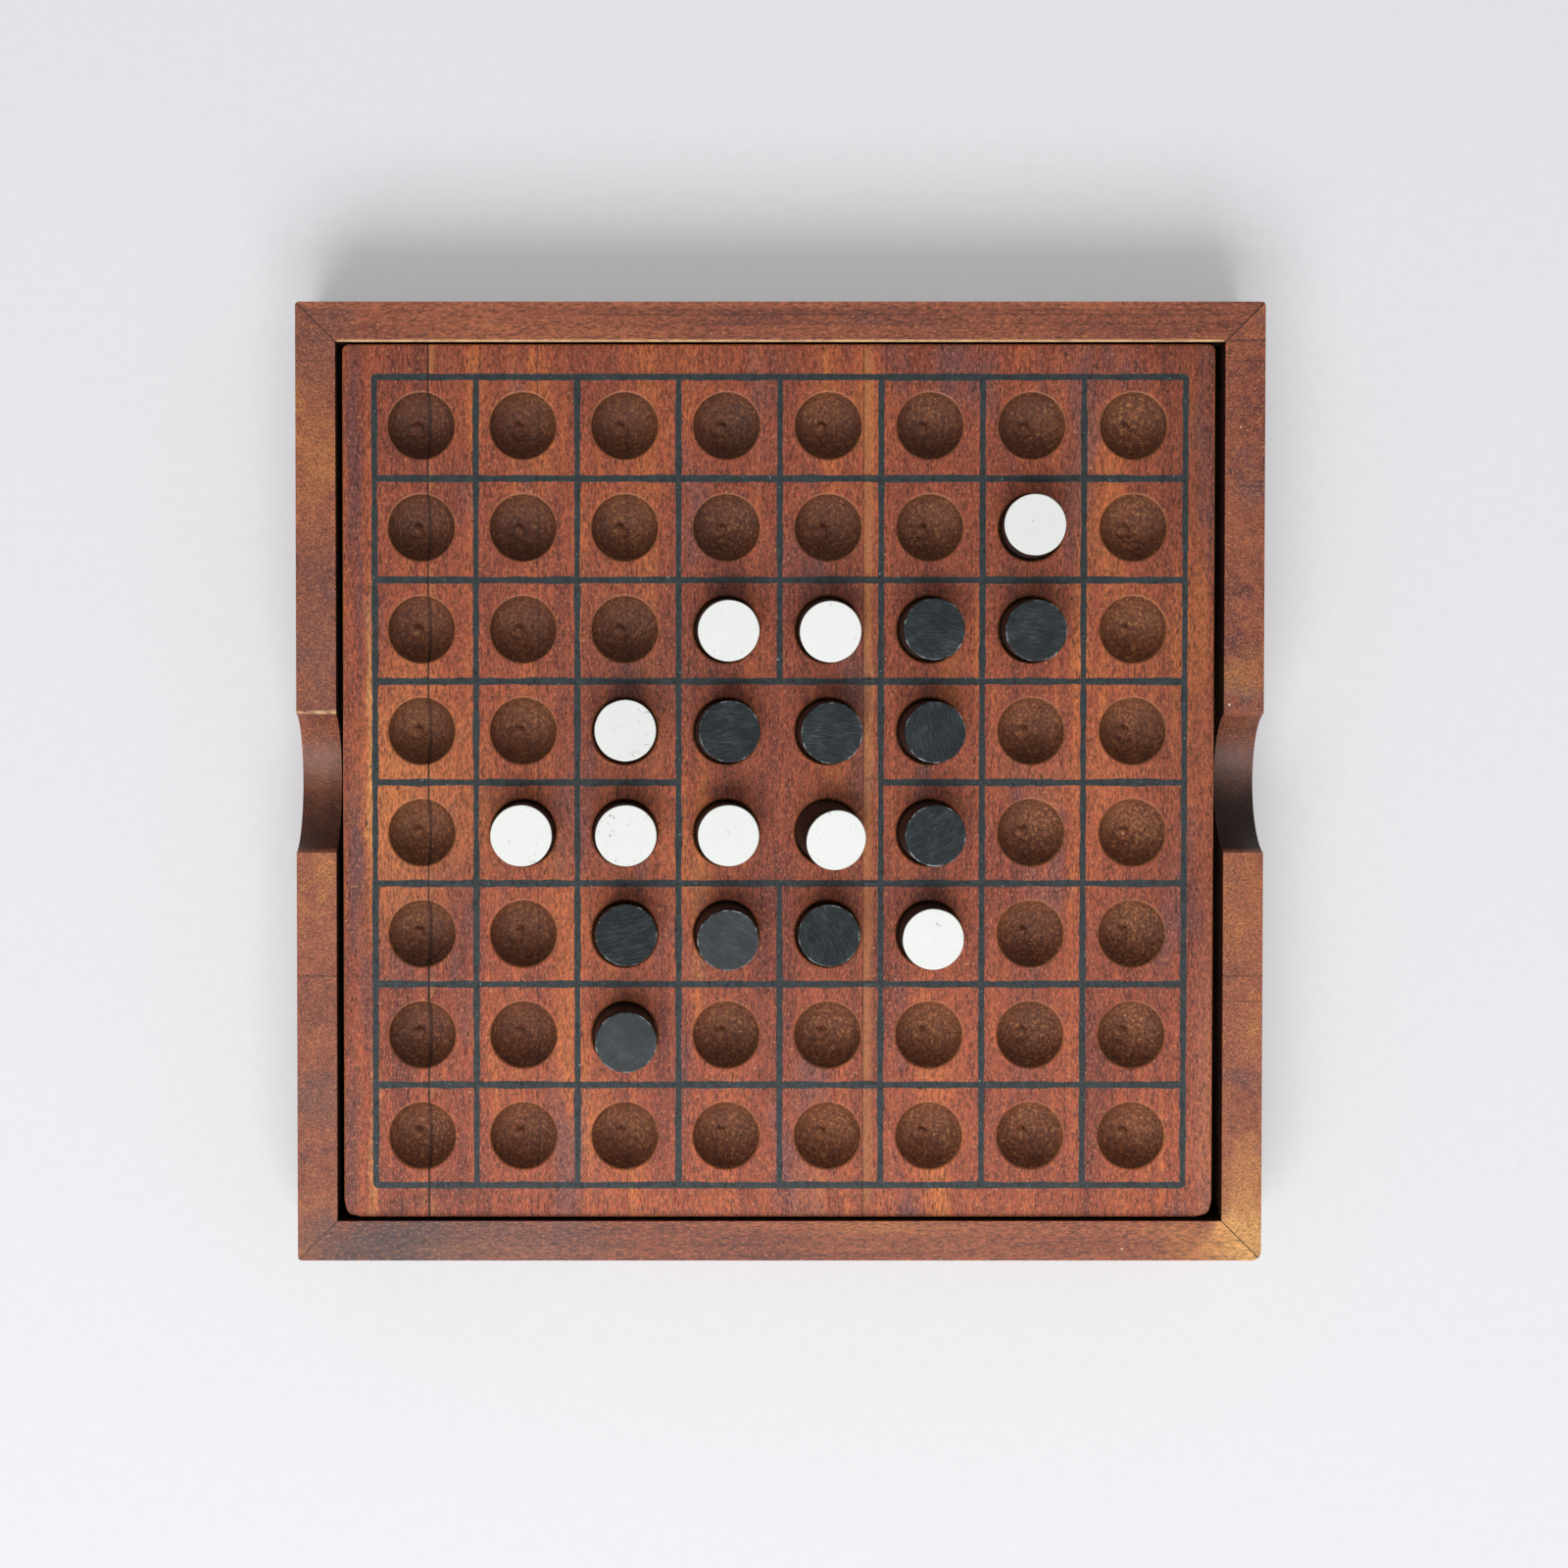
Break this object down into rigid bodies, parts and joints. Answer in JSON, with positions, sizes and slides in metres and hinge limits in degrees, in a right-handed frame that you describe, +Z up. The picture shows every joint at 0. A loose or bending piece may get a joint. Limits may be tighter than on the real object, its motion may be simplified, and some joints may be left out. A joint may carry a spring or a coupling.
{
  "type": "disc-flipping board game",
  "caption": "Square wooden tray with a lift-out board of round cups and a painted grid, holding two-colour wooden discs that are turned over in play.",
  "frame": {"origin": "middle of the tray's underside, on the surface it stands on", "axes": "+Z up out of the board, -Y towards the player, +X along the row of squares from a to h"},
  "size_m": [0.19, 0.1886, 0.0322],
  "materials": {
    "rail_wood": "stained, worn satin",
    "board_wood": "stained, open grain",
    "plywood": "bare",
    "white_face": "white paint, satin",
    "black_face": "black paint, satin"
  },
  "bodies": {
    "tray": {"rail_front": "rail_wood", "rail_back": "rail_wood", "rail_left": "rail_wood", "rail_right": "rail_wood", "bottom_panel": "plywood", "cleat_front": "plywood", "cleat_back": "plywood", "spare_discs_row_1": "black_face", "spare_discs_row_2": "black_face", "spare_discs_row_3": "black_face", "spare_discs_row_4": "black_face", "spare_discs_row_5": "black_face", "spare_discs_row_6": "black_face", "spare_discs_row_7": "black_face", "spare_discs_row_8": "black_face", "spare_discs_row_9": "black_face"},
    "board": {"board_strip_left": "board_wood", "board_strip_middle": "board_wood", "board_strip_right": "board_wood"},
    "disc_g2": {"disc_g2_white": "white_face"},
    "disc_d3": {"disc_d3_white": "white_face"},
    "disc_e3": {"disc_e3_white": "white_face"},
    "disc_f3": {"disc_f3_black": "black_face"},
    "disc_g3": {"disc_g3_black": "black_face"},
    "disc_c4": {"disc_c4_white": "white_face"},
    "disc_d4": {"disc_d4_black": "black_face"},
    "disc_e4": {"disc_e4_black": "black_face"},
    "disc_f4": {"disc_f4_black": "black_face"},
    "disc_b5": {"disc_b5_white": "white_face"},
    "disc_c5": {"disc_c5_white": "white_face"},
    "disc_d5": {"disc_d5_white": "white_face"},
    "disc_e5": {"disc_e5_white": "white_face"},
    "disc_f5": {"disc_f5_black": "black_face"},
    "disc_c6": {"disc_c6_black": "black_face"},
    "disc_d6": {"disc_d6_black": "black_face"},
    "disc_e6": {"disc_e6_black": "black_face"},
    "disc_f6": {"disc_f6_white": "white_face"},
    "disc_c7": {"disc_c7_black": "black_face"}
  },
  "joints": [
    {"name": "board_lift", "type": "slide", "parent": "tray", "child": "board", "axis": [0, 0, 1], "range_m": [0, 0.05]},
    {"name": "disc_g2_lift", "type": "slide", "parent": "board", "child": "disc_g2", "axis": [0, 0, 1], "range_m": [0, 0.025]},
    {"name": "disc_d3_lift", "type": "slide", "parent": "board", "child": "disc_d3", "axis": [0, 0, 1], "range_m": [0, 0.025]},
    {"name": "disc_e3_lift", "type": "slide", "parent": "board", "child": "disc_e3", "axis": [0, 0, 1], "range_m": [0, 0.025]},
    {"name": "disc_f3_lift", "type": "slide", "parent": "board", "child": "disc_f3", "axis": [0, 0, 1], "range_m": [0, 0.025]},
    {"name": "disc_g3_lift", "type": "slide", "parent": "board", "child": "disc_g3", "axis": [0, 0, 1], "range_m": [0, 0.025]},
    {"name": "disc_c4_lift", "type": "slide", "parent": "board", "child": "disc_c4", "axis": [0, 0, 1], "range_m": [0, 0.025]},
    {"name": "disc_d4_lift", "type": "slide", "parent": "board", "child": "disc_d4", "axis": [0, 0, 1], "range_m": [0, 0.025]},
    {"name": "disc_e4_lift", "type": "slide", "parent": "board", "child": "disc_e4", "axis": [0, 0, 1], "range_m": [0, 0.025]},
    {"name": "disc_f4_lift", "type": "slide", "parent": "board", "child": "disc_f4", "axis": [0, 0, 1], "range_m": [0, 0.025]},
    {"name": "disc_b5_lift", "type": "slide", "parent": "board", "child": "disc_b5", "axis": [0, 0, 1], "range_m": [0, 0.025]},
    {"name": "disc_c5_lift", "type": "slide", "parent": "board", "child": "disc_c5", "axis": [0, 0, 1], "range_m": [0, 0.025]},
    {"name": "disc_d5_lift", "type": "slide", "parent": "board", "child": "disc_d5", "axis": [0, 0, 1], "range_m": [0, 0.025]},
    {"name": "disc_e5_lift", "type": "slide", "parent": "board", "child": "disc_e5", "axis": [0, 0, 1], "range_m": [0, 0.025]},
    {"name": "disc_f5_lift", "type": "slide", "parent": "board", "child": "disc_f5", "axis": [0, 0, 1], "range_m": [0, 0.025]},
    {"name": "disc_c6_lift", "type": "slide", "parent": "board", "child": "disc_c6", "axis": [0, 0, 1], "range_m": [0, 0.025]},
    {"name": "disc_d6_lift", "type": "slide", "parent": "board", "child": "disc_d6", "axis": [0, 0, 1], "range_m": [0, 0.025]},
    {"name": "disc_e6_lift", "type": "slide", "parent": "board", "child": "disc_e6", "axis": [0, 0, 1], "range_m": [0, 0.025]},
    {"name": "disc_f6_lift", "type": "slide", "parent": "board", "child": "disc_f6", "axis": [0, 0, 1], "range_m": [0, 0.025]},
    {"name": "disc_c7_lift", "type": "slide", "parent": "board", "child": "disc_c7", "axis": [0, 0, 1], "range_m": [0, 0.025]}
  ]
}
